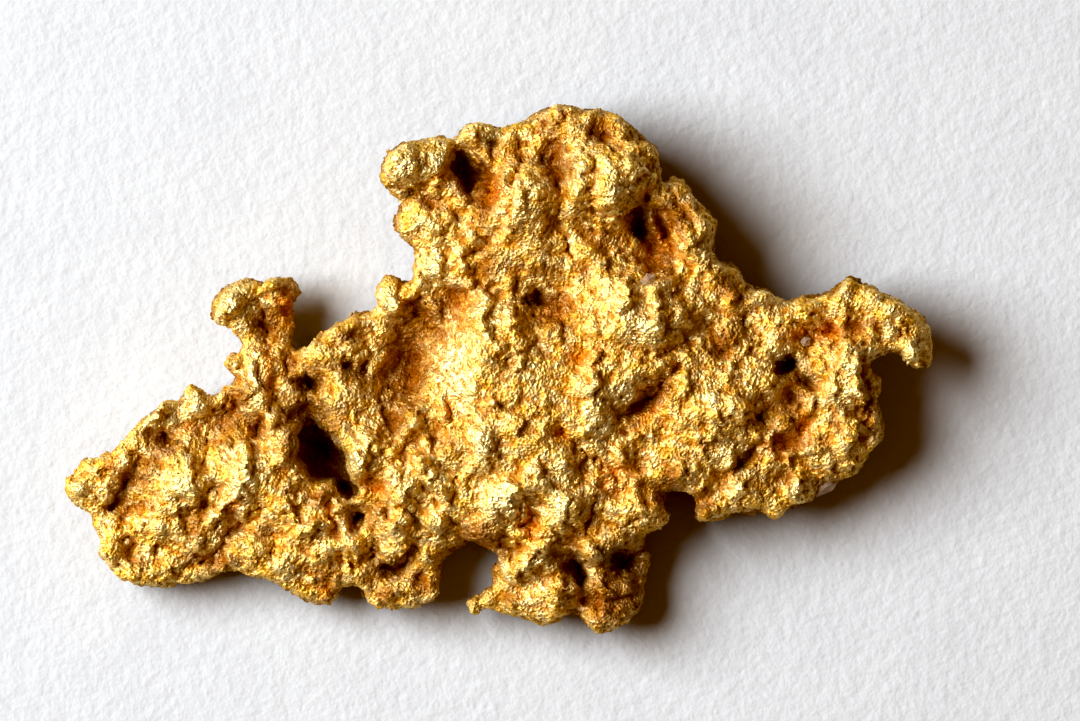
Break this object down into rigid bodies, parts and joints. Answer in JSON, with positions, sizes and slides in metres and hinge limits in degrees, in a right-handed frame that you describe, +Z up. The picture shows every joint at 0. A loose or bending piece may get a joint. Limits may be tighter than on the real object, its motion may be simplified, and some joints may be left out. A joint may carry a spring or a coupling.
{
  "type": "gold nugget",
  "caption": "Flat, ragged nugget of native gold with a raised crown, a knob on a stem, a hooked arm, deep pits and tiny lodged quartz grains.",
  "frame": {"origin": "middle of the nugget's plan, on the plane that its worn feet rest on", "axes": "+X along its length, from the west tip towards the hooked arm, +Y towards the crown, +Z up out of the pitted face"},
  "size_m": [0.0346, 0.0212, 0.0058],
  "materials": {
    "gold": "native gold, crumpled and granular, with brown stain in its hollows",
    "quartz": "glassy, cloudy"
  },
  "bodies": {
    "root": {"nugget": "gold", "quartz_grain_saddle": "quartz", "quartz_grain_fork": "quartz", "quartz_sliver_east": "quartz"}
  },
  "joints": []
}
